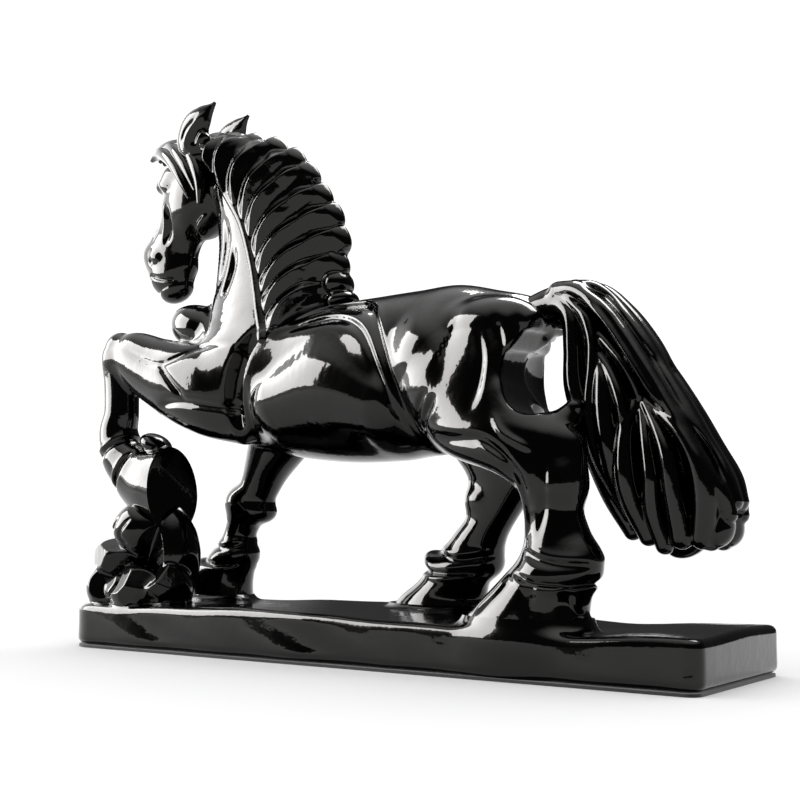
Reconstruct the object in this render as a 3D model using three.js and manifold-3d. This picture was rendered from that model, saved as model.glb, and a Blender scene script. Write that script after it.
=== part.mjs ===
// A cast bronze statuette of a heavy horse that paws at a small pile of rocks, on an oblong base.
// Millimetres, +Z up. The horse faces -X, its left side is -Y, and the origin is the middle of the
// base's underside. The horse is cast in sections that meet on flat faces and are pinned together.
import * as THREE from "three";
import { mergeVertices } from "three/addons/utils/BufferGeometryUtils.js";
import Module from "manifold-3d";

const wasm = await Module();
wasm.setup();

// ---- Driving dimensions ----
const GAP = 0.3; // between touching solids
const BASE_LENGTH = 310;
const BASE_WIDTH = 85;
const BASE_TOP = 20; // height of the base's upper face
const FELT = 1.5; // thickness of the felt under the base
const WALL = 5; // thickness of the hollow castings
const HEAD_END_CORNER = 15; // plan radius of the base's corners under the horse's head
const TAIL_END_CORNER = 6; // and at the tail end
const BASE_EDGE = 3; // bevel round the base's upper edge
const PIN_RADIUS = 2.5;
const PIN_HALF = 10; // length of a pin on each side of its joint
const SLEEVE_WALL = 3;
const SLEEVE_HALF = 8; // how far the neck's sleeve reaches on each side of its joint
const SCREW_RADIUS = 2.5;
const SCREW_LENGTH = 24; // from the washer to the screw's tip
const SCREW_HEAD_RADIUS = 4.5;
const SCREW_HEAD_HEIGHT = 3.5;
const WASHER_RADIUS = 6;
const WASHER_THICK = 1;
const BOSS_RADIUS = 7;
const BOSS_LOW = 9; // height of the lower face of the bosses inside the base
const MANE_LOCKS = 13;
const MANE_PROUD = 4; // how far the mane stands off the neck

// Where the screws come up from the base: three standing hooves and the rocks, as [x, y].
const FIXINGS = [[-114, 22], [9, 25], [83, -25], [-128, -19]];

// ---- Rings of the lofted bodies: [x, y, z, half-width along Y, half-depth across the path] ----
const TRUNK = [
  [-104, 0, 131, 12, 13],
  [-96, 0, 130, 23, 24],
  [-82, 0, 127, 28, 32],
  [-60, 0, 123, 31, 34.5],
  [-36, 0, 119, 32.5, 35],
  [-10, 0, 119.5, 33, 36],
  [15, 0, 121, 33.5, 37],
  [38, 0, 121.5, 34, 36],
  [56, 0, 122, 31, 31.5],
  [70, 0, 124, 25, 26],
  [81, 0, 130, 16, 20],
];
const NECK = [
  [-66, 0, 138, 27, 37],
  [-67, 0, 154, 23, 35],
  [-68, 0, 170, 19, 32],
  [-72, 0, 190, 16, 27],
  [-80, 0, 210, 14, 21],
  [-90, 0, 228, 12.5, 15.5],
  [-102, 0, 236, 11, 10],
];
const HEAD = [
  [-90, 0, 229, 11, 15],
  [-103, 0, 225, 12, 16],
  [-114, 0, 219, 13.5, 17.5],
  [-121, 0, 210, 13, 16.5],
  [-126, 0, 199, 10, 14],
  [-130, 0, 188, 9, 13.5],
  [-132, 0, 178, 9.5, 13],
  [-131, 0, 171, 7, 8.5],
];
const TAIL = [
  [70, 0, 141, 8, 8],
  [83, 0, 143.5, 9.5, 9.5],
  [94, 0, 139, 11.5, 11.5],
  [102, 0, 127, 13, 14],
  [109, 0, 106, 14, 18.5],
  [119, 0, 82, 14.5, 21.5],
  [129, 0, 63, 13, 20],
  [136, 0, 51, 9, 13],
];
const HINDLEG_LEFT = [
  [60, -15, 134, 14, 24],
  [53, -19, 114, 16, 31],
  [60, -22, 101, 15, 30],
  [69, -23, 92, 15, 33],
  [76, -24, 84, 13.5, 29],
  [86, -25, 77, 12, 19],
  [91, -25, 70, 11, 13],
  [92, -25, 63, 10, 11.5],
  [94, -25, 54, 11, 12.5],
  [94, -25, 45, 13.5, 15],
  [90, -25, 37, 15.5, 18.5],
  [84, -25, 28, 17, 22],
  [81, -25, 20, 17.5, 27],
];
const HINDLEG_RIGHT = [
  [50, 15, 134, 14, 24],
  [42, 19, 114, 15, 28],
  [42, 22, 100, 14, 27],
  [43, 23, 88, 13, 24],
  [43, 23, 80, 12, 18],
  [43, 23, 73, 11, 15],
  [40, 23, 64, 10, 11.5],
  [32, 23, 53, 10.5, 12],
  [25, 24, 43, 12.5, 15],
  [18, 24, 33, 14, 16],
  [12, 25, 26, 15.5, 20],
  [10, 25, 20, 16.5, 23.5],
];
const FORELEG_RIGHT = [
  [-64, 16, 120, 13, 24],
  [-74, 19, 101, 13, 20],
  [-82, 21, 89, 12, 16],
  [-90, 22, 78, 10.5, 11.5],
  [-97, 22, 67, 9.5, 11],
  [-105, 22, 51, 8, 8.5],
  [-110, 22, 40, 11.5, 13],
  [-114, 22, 29, 13, 15],
  [-117, 22, 20, 15, 18],
];
const FOREARM_LEFT = [
  [-66, -16, 112, 13, 20],
  [-84, -20, 117, 13, 21],
  [-102, -21, 122, 12.5, 19],
  [-120, -20.5, 128.5, 11, 16],
  [-135, -20, 135.5, 10, 13],
  [-145, -20, 138.5, 8, 9.5],
];
const CANNON_LEFT = [
  [-147, -20, 146, 7, 6],
  [-146.5, -20, 138, 9, 9],
  [-145, -20, 124, 8, 9],
  [-144.5, -20, 110, 8, 9],
  [-146, -20, 100, 9.5, 9.5],
  [-142, -20, 89, 10.5, 10.5],
  [-134, -19.5, 82, 12.5, 13.5],
  [-124, -19, 78, 15, 16.5],
  [-112, -18.5, 75, 17, 19],
];
const EAR = [
  [-105, 10, 232, 4, 6],
  [-108, 11, 240, 4.5, 9.5],
  [-107, 11.5, 246, 4, 9.5],
  [-101, 12, 252, 3, 6],
  [-96, 12, 256, 1, 1.2],
];
const FORELOCK = [
  [-95, 0, 243, 6, 3],
  [-108, 0, 245, 8, 5],
  [-120, 0, 243, 9, 6],
  [-132, 0, 240, 7, 4.5],
  [-143, 0, 239, 2, 1.5],
];
// The mane's locks run from tips along the crest to roots along the side of the neck, as [x, z].
const MANE_TIPS = [[-97, 243], [-82, 241], [-66, 235], [-50, 221], [-39, 206], [-30, 191], [-27, 174]];
const MANE_ROOTS = [[-96, 214], [-87, 210], [-76, 200], [-66, 186], [-58, 170], [-53, 155], [-44, 141]];
// Boulders under the raised hoof: [x, y, z, radius along x, along y, along z].
const BOULDERS = [
  [-138, -27, 30, 12, 13, 15],
  [-115, -23, 29, 13, 13, 15],
  [-127, -13, 30, 16, 12, 16],
  [-134, -21, 50, 12, 12, 14],
  [-114, -18, 46, 10, 12, 13],
];

// ---- Joint faces: a point where the pin crosses, and the direction away from the trunk ----
const NECK_JOINT = { at: [-62, 0, 155], way: [-0.08, 0, 1] };
const HEAD_JOINT = { at: [-96, 0, 222], way: [-0.98, 0, 0.196] };
const TAIL_JOINT = { at: [81, 0, 143], way: [1, 0, 0] };
const FORELEG_LEFT_JOINT = { at: [-120, -20.5, 128], way: [-0.94, 0, -0.34] };
const FORELEG_RIGHT_JOINT = { at: [-88, 22, 82], way: [0, 0, -1] };
const HINDLEG_LEFT_JOINT = { at: [84, -24, 82], way: [0, 0, -1] };
const HINDLEG_RIGHT_JOINT = { at: [43, 23, 82], way: [0, 0, -1] };

// ---- Geometry helpers ----
const SIDE = new THREE.Vector3(0, 1, 0);
const LENGTHWISE = new THREE.Vector3(1, 0, 0);
const UPWARD = new THREE.Vector3(0, 0, 1);

function solidOf(geometry) {
  const bare = new THREE.BufferGeometry();
  bare.setAttribute("position", geometry.getAttribute("position"));
  bare.setIndex(geometry.index);
  const merged = mergeVertices(bare, 1e-4);
  return new wasm.Manifold(new wasm.Mesh({
    numProp: 3,
    vertProperties: merged.getAttribute("position").array,
    triVerts: new Uint32Array(merged.index.array),
  }));
}

function geometryOf(solid) {
  const mesh = solid.getMesh();
  const geometry = new THREE.BufferGeometry();
  geometry.setAttribute("position", new THREE.BufferAttribute(mesh.vertProperties, 3));
  geometry.setIndex(new THREE.BufferAttribute(mesh.triVerts, 1));
  geometry.computeVertexNormals();
  return geometry;
}

// A closed body through oval rings. grow makes every ring larger or smaller all round. The rings
// stand square to the path, or all take the fixed direction across as their depth.
function loft(rings, { grow = 0, across = null, sides = 14, perRing = 1 } = {}) {
  const path = new THREE.CatmullRomCurve3(rings.map((r) => new THREE.Vector3(r[0], r[1], r[2])));
  const size = new THREE.CatmullRomCurve3(rings.map((r) => new THREE.Vector3(r[3], r[4], 0)));
  const geometry = new THREE.CylinderGeometry(1, 1, 1, sides, (rings.length - 1) * perRing);
  const position = geometry.getAttribute("position");
  for (let i = 0; i < position.count; i++) {
    const t = THREE.MathUtils.clamp(0.5 - position.getY(i), 0, 1);
    const depthWay = across ?? path.getTangent(t).cross(SIDE).normalize();
    const half = size.getPoint(t);
    const point = path.getPoint(t)
      .addScaledVector(SIDE, position.getX(i) * (half.x + grow))
      .addScaledVector(depthWay, position.getZ(i) * (half.y + grow));
    position.setXYZ(i, point.x, point.y, point.z);
  }
  return solidOf(geometry);
}

function ball(at, radii, tilt = 0) {
  const geometry = new THREE.SphereGeometry(1, 14, 9);
  geometry.scale(...radii).rotateY(tilt).translate(...at);
  return solidOf(geometry);
}

function boulder([x, y, z, ...radii]) {
  const geometry = new THREE.IcosahedronGeometry(1, 1);
  geometry.rotateZ(x).scale(...radii).translate(x, y, z);
  return solidOf(geometry);
}

// A round bar from one point to another.
function rod(from, to, radius, sides = 12) {
  const start = new THREE.Vector3(...from);
  const span = new THREE.Vector3(...to).sub(start);
  const geometry = new THREE.CylinderGeometry(radius, radius, span.length(), sides);
  const turn = new THREE.Quaternion().setFromUnitVectors(SIDE, span.clone().normalize());
  const middle = start.addScaledVector(span, 0.5);
  geometry.applyQuaternion(turn).translate(middle.x, middle.y, middle.z);
  return solidOf(geometry);
}

// A rounded oblong plate, drawn in all round by inset, between two heights.
function plate(inset, low, high, bevel = 0) {
  const halfLength = BASE_LENGTH / 2 - inset - bevel;
  const halfWidth = BASE_WIDTH / 2 - inset - bevel;
  const outline = new THREE.Shape();
  for (const [alongX, alongY, quarter] of [[1, 1, 0], [-1, 1, 1], [-1, -1, 2], [1, -1, 3]]) {
    const corner = alongX > 0 ? TAIL_END_CORNER : HEAD_END_CORNER;
    const radius = Math.max(corner - inset - bevel, 1);
    const start = quarter * Math.PI / 2;
    const x = alongX * (halfLength - radius);
    const y = alongY * (halfWidth - radius);
    outline.absarc(x, y, radius, start, start + Math.PI / 2, false);
  }
  const geometry = new THREE.ExtrudeGeometry(outline, {
    depth: high - low - 2 * bevel,
    bevelEnabled: bevel > 0,
    bevelThickness: bevel,
    bevelSize: bevel,
    bevelSegments: 2,
    curveSegments: 5,
  });
  return solidOf(geometry.translate(0, 0, low + bevel));
}

const above = (solid, z) => solid.trimByPlane([0, 0, 1], z);
const joined = (solids) => solids.reduce((all, solid) => all.add(solid));
const without = (solid, others) => solid.subtract(joined(others));

// A cut can leave loose slivers beside the piece itself.
const largest = (solid) => solid.decompose().reduce((a, b) => (a.volume() > b.volume() ? a : b));

// What lies beyond a joint face by some distance (side 1), or before it (side -1).
function beyond(solid, joint, side, distance = GAP / 2) {
  const normal = new THREE.Vector3(...joint.way).normalize().multiplyScalar(side);
  const offset = normal.dot(new THREE.Vector3(...joint.at));
  return solid.trimByPlane(normal.toArray(), offset + distance);
}

function pin(joint, grow = 0) {
  const at = new THREE.Vector3(...joint.at);
  const half = new THREE.Vector3(...joint.way).normalize().multiplyScalar(PIN_HALF + grow);
  const from = at.clone().sub(half).toArray();
  return rod(from, at.add(half).toArray(), PIN_RADIUS + grow);
}

// ---- Base, felt, screws and washers ----
const screwHole = ([x, y], top) => rod([x, y, 0], [x, y, top], SCREW_RADIUS + GAP);
const washerSeat = BOSS_LOW - GAP;
const screwSeat = washerSeat - WASHER_THICK - GAP;
const tappedHole = (place) => screwHole(place, screwSeat + SCREW_LENGTH + 1);

function baseCasting() {
  const block = above(plate(0, -BASE_EDGE, BASE_TOP, BASE_EDGE), FELT);
  const hollow = plate(WALL, 0, BASE_TOP - WALL);
  const bosses = FIXINGS.map(([x, y]) => rod([x, y, BOSS_LOW], [x, y, BASE_TOP - 1], BOSS_RADIUS));
  const shell = joined([block.subtract(hollow), ...bosses]);
  return without(shell, FIXINGS.map((place) => screwHole(place, BASE_TOP + 1)));
}

const baseFelt = () => plate(1, 0, FELT - GAP);

function screw([x, y]) {
  const head = rod([x, y, screwSeat - SCREW_HEAD_HEIGHT], [x, y, screwSeat], SCREW_HEAD_RADIUS);
  const shank = rod([x, y, screwSeat - 1], [x, y, screwSeat + SCREW_LENGTH], SCREW_RADIUS);
  const socket = rod([x, y, 0], [x, y, screwSeat - 1.5], SCREW_HEAD_RADIUS / 2, 6);
  return head.add(shank).subtract(socket);
}

function washer([x, y]) {
  const disc = rod([x, y, washerSeat - WASHER_THICK], [x, y, washerSeat], WASHER_RADIUS);
  return disc.subtract(screwHole([x, y], BASE_TOP));
}

// ---- Masses that several castings are cut by ----
// The barrel's rings hang upright, so that its two ends are flat against their neighbours.
const barrel = (grow, rings = TRUNK) => loft(rings, { grow, across: UPWARD, perRing: 2 });
const neckMass = (grow = 0) => loft(NECK, { grow });

function torsoMass(grow = 0) {
  const mass = (at, radii, tilt) => ball(at, radii.map((radius) => radius + grow), tilt);
  return joined([
    barrel(grow),
    mass([-74, -16, 124], [23, 15, 27], 0.3),
    mass([-72, 16, 124], [23, 15, 27], 0.3),
    mass([-92, 0, 144], [13, 17, 14], 0),
    mass([-105, -5, 151], [14, 13, 11], 0),
    mass([52, -14, 132], [28, 17, 24], 0.2),
    mass([52, 14, 132], [28, 17, 24], 0.2),
  ]);
}

function headMass(grow = 0) {
  const mass = (at, radii, tilt) => ball(at, radii.map((radius) => radius + grow), tilt);
  return joined([
    loft(HEAD, { grow }),
    mass([-112, 0, 209], [13, 14, 17], 0.3),
    mass([-140, 0, 187], [8, 9, 11], 0),
    mass([-125, 0, 225], [12, 13, 9], -0.5),
  ]);
}

// ---- Trunk, neck and head ----
// The trunk and the neck are hollow and open to each other at their joint.
function hollow() {
  return barrel(-WALL, TRUNK.slice(1, -1)).add(loft(NECK.slice(0, 4), { grow: -WALL }));
}

function trunk() {
  const uppers = [
    beyond(loft(HINDLEG_LEFT, { across: LENGTHWISE }), HINDLEG_LEFT_JOINT, -1),
    beyond(loft(HINDLEG_RIGHT, { across: LENGTHWISE }), HINDLEG_RIGHT_JOINT, -1),
    beyond(loft(FORELEG_RIGHT, { across: LENGTHWISE }), FORELEG_RIGHT_JOINT, -1),
    beyond(loft(FOREARM_LEFT), FORELEG_LEFT_JOINT, -1),
  ];
  const torso = beyond(torsoMass(), TAIL_JOINT, -1);
  const body = joined([torso, beyond(neckMass(), NECK_JOINT, -1), ...uppers]);
  return without(body, [hollow(), ...TRUNK_JOINTS.map((joint) => pin(joint, GAP))]);
}

function neck() {
  const shell = beyond(beyond(neckMass(), NECK_JOINT, 1), HEAD_JOINT, -1);
  return without(shell, [torsoMass(GAP), hollow(), pin(HEAD_JOINT, GAP)]);
}

// A sleeve inside the joint of the trunk and the neck, which centres one on the other.
function neckSleeve() {
  const outside = loft(NECK, { grow: -WALL - GAP });
  const tube = outside.subtract(loft(NECK, { grow: -WALL - SLEEVE_WALL }));
  const reach = -SLEEVE_HALF;
  return beyond(beyond(tube, NECK_JOINT, 1, reach), NECK_JOINT, -1, reach);
}

const head = () => beyond(headMass().add(neckMass()), HEAD_JOINT, 1).subtract(pin(HEAD_JOINT, GAP));

// ---- Legs, tail and rocks ----
function standingLeg(rings, joint, place) {
  const whole = beyond(above(loft(rings, { across: LENGTHWISE }), BASE_TOP + GAP), joint, 1);
  return without(whole, [torsoMass(GAP), pin(joint, GAP), tappedHole(place)]);
}

function forelegLeft() {
  const whole = beyond(loft(FOREARM_LEFT).add(loft(CANNON_LEFT)), FORELEG_LEFT_JOINT, 1);
  return without(whole, [torsoMass(GAP), pin(FORELEG_LEFT_JOINT, GAP)]);
}

function rockSupport() {
  const pile = above(joined(BOULDERS.map(boulder)), BASE_TOP + GAP);
  return without(pile, [loft(CANNON_LEFT, { grow: GAP }), tappedHole(FIXINGS[3])]);
}

function tail() {
  const whole = beyond(loft(TAIL), TAIL_JOINT, 1);
  const thighs = [HINDLEG_LEFT, HINDLEG_RIGHT].map((r) => loft(r, { grow: GAP, across: LENGTHWISE }));
  return without(whole, [...thighs, pin(TAIL_JOINT, GAP)]);
}

// ---- Mane, forelock and ears ----
const curveOf = (points) => new THREE.CatmullRomCurve3(points.map(([x, z]) => new THREE.Vector3(x, 0, z)));

// The neck is wider lower down, so the locks that lie on it are too.
const maneHalfWidth = (z) => MANE_PROUD + 12 + (236 - z) * 0.13;

function maneLock(tip, root) {
  const middle = tip.clone().lerp(root, 0.5).add(new THREE.Vector3(-3, 0, 1));
  const high = tip.clone().lerp(middle, 0.4);
  const low = root.clone().lerp(tip, 0.15);
  return loft([
    [tip.x, 0, tip.z, 3, 2.5],
    [high.x, 0, high.z, maneHalfWidth(high.z) * 0.8, 4.5],
    [middle.x, 0, middle.z, maneHalfWidth(middle.z), 4.5],
    [low.x, 0, low.z, maneHalfWidth(low.z) - 1, 3.5],
  ], { sides: 8 });
}

function mane() {
  const tips = curveOf(MANE_TIPS);
  const roots = curveOf(MANE_ROOTS);
  const locks = Array.from({ length: MANE_LOCKS }, (_, i) => {
    const t = i / (MANE_LOCKS - 1);
    return maneLock(tips.getPoint(t), roots.getPoint(t));
  });
  const ridge = loft(MANE_TIPS.map(([x, z]) => [x - 7, 0, z - 4, 6, 5]), { sides: 8 });
  const knob = ball([-29, 0, 164], [6, 8, 8]);
  return largest(without(joined([ridge, knob, ...locks]), [
    neckMass(GAP), torsoMass(GAP), headMass(GAP),
  ]));
}

const forelock = () => without(loft(FORELOCK, { sides: 12 }), [headMass(GAP), neckMass(GAP), mane()]);

function ear(side) {
  const rings = EAR.map(([x, y, ...rest]) => [x, side * y, ...rest]);
  return without(loft(rings, { sides: 12 }), [
    headMass(GAP), neckMass(GAP), loft(FORELOCK, { grow: GAP, sides: 12 }),
  ]);
}

// ---- The assembly ----
const bronze = new THREE.MeshStandardMaterial({ color: 0x1a1817, roughness: 0.12, metalness: 0.9 });
const steel = new THREE.MeshStandardMaterial({ color: 0x9a9c9e, roughness: 0.35, metalness: 1 });
const brass = new THREE.MeshStandardMaterial({ color: 0xa8864a, roughness: 0.3, metalness: 1 });
const felt = new THREE.MeshStandardMaterial({ color: 0x1d2620, roughness: 1, metalness: 0 });

const TRUNK_JOINTS = [
  TAIL_JOINT, FORELEG_LEFT_JOINT, FORELEG_RIGHT_JOINT, HINDLEG_LEFT_JOINT, HINDLEG_RIGHT_JOINT,
];

const statue = new THREE.Group();

function addPart(name, solid, material) {
  const mesh = new THREE.Mesh(geometryOf(solid), material);
  mesh.name = name;
  statue.add(mesh);
}

addPart("base_casting", baseCasting(), bronze);
addPart("base_felt", baseFelt(), felt);
addPart("trunk", trunk(), bronze);
addPart("neck", neck(), bronze);
addPart("neck_joint_sleeve", neckSleeve(), brass);
addPart("head", head(), bronze);
addPart("mane", mane(), bronze);
addPart("forelock", forelock(), bronze);
addPart("ear_left", ear(-1), bronze);
addPart("ear_right", ear(1), bronze);
addPart("tail", tail(), bronze);
addPart("foreleg_left_raised", forelegLeft(), bronze);
addPart("foreleg_right", standingLeg(FORELEG_RIGHT, FORELEG_RIGHT_JOINT, FIXINGS[0]), bronze);
addPart("hindleg_right", standingLeg(HINDLEG_RIGHT, HINDLEG_RIGHT_JOINT, FIXINGS[1]), bronze);
addPart("hindleg_left", standingLeg(HINDLEG_LEFT, HINDLEG_LEFT_JOINT, FIXINGS[2]), bronze);
addPart("rock_support", rockSupport(), bronze);

const pins = {
  head_pin: HEAD_JOINT,
  tail_pin: TAIL_JOINT,
  foreleg_left_pin: FORELEG_LEFT_JOINT,
  foreleg_right_pin: FORELEG_RIGHT_JOINT,
  hindleg_left_pin: HINDLEG_LEFT_JOINT,
  hindleg_right_pin: HINDLEG_RIGHT_JOINT,
};
for (const [name, joint] of Object.entries(pins)) {
  addPart(name, pin(joint), brass);
}
FIXINGS.forEach((place, i) => {
  addPart(`base_screw_${i + 1}`, screw(place), steel);
  addPart(`base_washer_${i + 1}`, washer(place), steel);
});

export default statue;
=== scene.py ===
"""A black-patinated bronze horse on a low base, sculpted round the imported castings."""
import math

import bmesh
import bpy
import numpy as np
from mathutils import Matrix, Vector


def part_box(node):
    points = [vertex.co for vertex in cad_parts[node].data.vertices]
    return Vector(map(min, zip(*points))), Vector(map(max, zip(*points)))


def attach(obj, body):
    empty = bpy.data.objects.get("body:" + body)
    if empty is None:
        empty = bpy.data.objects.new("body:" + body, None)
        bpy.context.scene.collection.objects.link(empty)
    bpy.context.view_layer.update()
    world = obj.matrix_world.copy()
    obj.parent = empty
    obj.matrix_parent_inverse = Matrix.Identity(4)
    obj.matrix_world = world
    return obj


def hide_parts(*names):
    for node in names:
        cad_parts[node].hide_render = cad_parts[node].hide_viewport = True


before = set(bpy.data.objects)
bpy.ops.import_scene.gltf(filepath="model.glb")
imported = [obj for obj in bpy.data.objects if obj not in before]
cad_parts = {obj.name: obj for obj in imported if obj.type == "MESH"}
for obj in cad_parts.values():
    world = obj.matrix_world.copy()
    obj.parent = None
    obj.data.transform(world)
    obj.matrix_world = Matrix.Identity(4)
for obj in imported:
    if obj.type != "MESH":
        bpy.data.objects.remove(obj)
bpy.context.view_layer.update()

import openvdb
from mathutils import Matrix, Vector

# The sculpture is worked out in millimetres, in the frame of the castings: the horse faces -X,
# its left side is -Y and the base stands on z = 0.
MM = 0.001
FAR = 30.0  # what the clay's grid holds where there is nothing near


# ---------------------------------------------------------------- curves
def spline(rows, per=8):
    """Points on a smooth curve through the given rows; every column is carried along."""
    rows = np.array(rows, dtype=float)
    padded = np.vstack([2 * rows[0] - rows[1], rows, 2 * rows[-1] - rows[-2]])
    t = (np.arange(per) / per)[:, None]
    spans = []
    for a, b, c, d in zip(padded, padded[1:], padded[2:], padded[3:]):
        bend = (2 * a - 5 * b + 4 * c - d) * t**2 + (3 * b - a - 3 * c + d) * t**3
        spans.append(b + 0.5 * ((c - a) * t + bend))
    return np.vstack(spans + [rows[-1:]])


def beside(path, x, z):
    """Where the points (x, z) lie by a flat path: how far along it in steps, how far to its side,
    and how far past its ends."""
    nearest = np.full(np.broadcast(x, z).shape, np.inf)
    along = np.zeros(nearest.shape)
    for i, (start, end) in enumerate(zip(path, path[1:])):
        step = end - start
        t = ((x - start[0]) * step[0] + (z - start[1]) * step[1]) / (step @ step)
        t = np.clip(t, 0, 1)
        gap = (x - start[0] - t * step[0]) ** 2 + (z - start[1] - t * step[1]) ** 2
        closer = gap < nearest
        nearest = np.where(closer, gap, nearest)
        along = np.where(closer, i + t, along)
    tangent = np.gradient(path, axis=0)
    tangent /= np.linalg.norm(tangent, axis=1)[:, None]
    steps = np.arange(len(path))
    at_x, at_z = (np.interp(along, steps, path[:, k]) for k in (0, 1))
    way_x, way_z = (np.interp(along, steps, tangent[:, k]) for k in (0, 1))
    past = (x - at_x) * way_x + (z - at_z) * way_z
    past = np.where((along <= 0) | (along >= len(path) - 1), past, 0)
    turn = np.sign((z - at_z) * way_x - (x - at_x) * way_z)
    side = turn * np.sqrt(np.maximum(nearest - past**2, 0))
    return along, side, past


def half_width_at(rings, x, z):
    """How far the surface of a lofted body stands from its middle plane at the points (x, z)."""
    rows = spline(rings)
    along, side, past = beside(rows[:, [0, 2]], x, z)
    width, depth = (np.interp(along, np.arange(len(rows)), rows[:, k]) for k in (3, 4))
    return width * np.sqrt(np.clip(1 - (side / depth) ** 2 - (past / depth) ** 2, 0, 1))


# ---------------------------------------------------------------- clay
class Clay:
    """A block of modelling clay. On a regular grid, it holds the distance to the clay's surface,
    which is less than nought inside."""

    def __init__(self, low, high, pitch):
        self.low = np.array(low, dtype=float)
        self.pitch = pitch
        self.count = np.ceil((np.array(high) - self.low) / pitch).astype(int) + 1
        self.field = np.full(self.count, FAR, dtype=np.float32)

    def window(self, low, high):
        """The cells between two corners, as slices, with their x, y and z; None if outside."""
        first = np.clip(np.floor((low - self.low) / self.pitch).astype(int), 0, self.count)
        last = np.clip(np.ceil((high - self.low) / self.pitch).astype(int) + 1, 0, self.count)
        if (last <= first).any():
            return None
        cut = tuple(slice(a, b) for a, b in zip(first, last))
        x, y, z = (o + self.pitch * np.arange(a, b) for o, a, b in zip(self.low, first, last))
        return cut, x[:, None, None], y[None, :, None], z[None, None, :]

    def add(self, cut, shape, blend):
        """Joins a shape to the clay, with a fillet about as wide as blend."""
        old = self.field[cut]
        share = np.clip(0.5 + 0.5 * (old - shape) / blend, 0, 1)
        self.field[cut] = old + (shape - old) * share - blend * share * (1 - share)

    def scoop(self, cut, shape, blend):
        """Takes a shape out of the clay, with a rounded edge about as wide as blend."""
        old = self.field[cut]
        share = np.clip(0.5 - 0.5 * (old + shape) / blend, 0, 1)
        self.field[cut] = old + (-shape - old) * share + blend * share * (1 - share)

    def limb(self, rings, blend=4.0, lie="square", take=False):
        """A tapered body through oval rings (x, y, z, half-width, half-depth). The rings lie
        square to the path, upright or level."""
        rows = spline(rings)
        reach = rows[:, 3:].max() + blend + 2 * self.pitch
        found = self.window(rows[:, :3].min(0) - reach, rows[:, :3].max(0) + reach)
        if found is None:
            return
        cut, x, y, z = found
        steps = np.arange(len(rows))
        if lie == "square":
            along, side, past = beside(rows[:, [0, 2]], x, z)
        else:
            key, other, here, there = (0, 2, x, z) if lie == "upright" else (2, 0, z, x)
            order = np.argsort(rows[:, key])
            along = np.interp(here, rows[order, key], steps[order])
            side = there - np.interp(along, steps, rows[:, other])
            past = here - np.interp(along, steps, rows[:, key])
        middle, width, depth = (np.interp(along, steps, rows[:, k]) for k in (1, 3, 4))
        cap = np.minimum(width, depth)
        a, b, c = (y - middle) / width + 1e-4, side / depth, past / cap
        size = np.sqrt(a**2 + b**2 + c**2)
        slope = np.sqrt((a / width) ** 2 + (b / depth) ** 2 + (c / cap) ** 2)
        shape = size * (size - 1) / np.maximum(slope, 1e-5)
        (self.scoop if take else self.add)(cut, shape, blend)

    def ball(self, at, radii, tilt=0.0, blend=4.0, take=False, facets=()):
        """An egg shape, tilted nose up about Y in degrees, with flats knocked off it."""
        reach = max(radii) + blend + 2 * self.pitch
        found = self.window(np.array(at) - reach, np.array(at) + reach)
        if found is None:
            return
        cut, x, y, z = found
        turn = Matrix.Rotation(math.radians(tilt), 3, "Y")
        a, b, c = (
            (turn.col[k][0] * (x - at[0]) + turn.col[k][1] * (y - at[1])
             + turn.col[k][2] * (z - at[2])) / radii[k] + 1e-4
            for k in range(3)
        )
        size = np.sqrt(a**2 + b**2 + c**2)
        slope = np.sqrt((a / radii[0]) ** 2 + (b / radii[1]) ** 2 + (c / radii[2]) ** 2)
        shape = size * (size - 1) / np.maximum(slope, 1e-5)
        for u, v, w in facets:
            shape = np.maximum(shape, (a * u + b * v + c * w - 0.8) * min(radii))
        (self.scoop if take else self.add)(cut, shape, blend)

    def crease(self, points, width, depth, sides=(-1, 1), lip=0.0, fade=0.25):
        """Presses a groove along (x, z) points into the flanks. A lip swells on its left, as
        seen going along the points; a depth below nought makes a ridge."""
        path = spline(points)
        reach = 3 * width + 2 * self.pitch
        low = np.array([path[:, 0].min() - reach, self.low[1], path[:, 1].min() - reach])
        high = np.array([path[:, 0].max() + reach, 200, path[:, 1].max() + reach])
        found = self.window(low, high)
        if found is None:
            return
        cut, x, y, z = found
        along, side, past = beside(path, x, z)
        span = len(path) - 1
        ends = np.clip(np.minimum(along, span - along) / (fade * span), 0, 1)
        near = (side**2 + past**2) / width**2
        press = depth * np.exp(-near) - lip * (side / width) * np.exp(0.5 - near / 2)
        press = press * ends * ends * (3 - 2 * ends)
        mask = sum(np.clip(way * y / 5, 0, 1) for way in sides)
        self.field[cut] += press * mask

    def sample(self, points):
        """The distance field at loose points, between the cells."""
        at = (points - self.low) / self.pitch
        first = np.clip(np.floor(at).astype(int), 0, self.count - 2)
        part = at - first
        total = np.zeros(len(points))
        for corner in np.ndindex(2, 2, 2):
            weight = np.prod(np.where(corner, part, 1 - part), axis=1)
            total += weight * self.field[tuple((first + corner).T)]
        return total

    def slopes(self, points):
        """The outward directions of the surface at loose points."""
        hop = 0.8 * self.pitch
        found = [
            self.sample(points + hop * axis) - self.sample(points - hop * axis)
            for axis in np.eye(3)
        ]
        slope = np.stack(found, axis=1)
        return slope / np.maximum(np.linalg.norm(slope, axis=1), 1e-6)[:, None]

    def skin(self):
        """The clay's surface as corner points in mm and four-sided faces."""
        grid = openvdb.FloatGrid()
        grid.copyFromArray(self.field)
        points, quads = grid.convertToQuads(0.0)
        points = points * self.pitch + self.low
        for _ in range(2):
            step = np.clip(self.sample(points), -0.3 * self.pitch, 0.3 * self.pitch)
            points = points - self.slopes(points) * step[:, None]
        return points, quads[:, ::-1]


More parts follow.
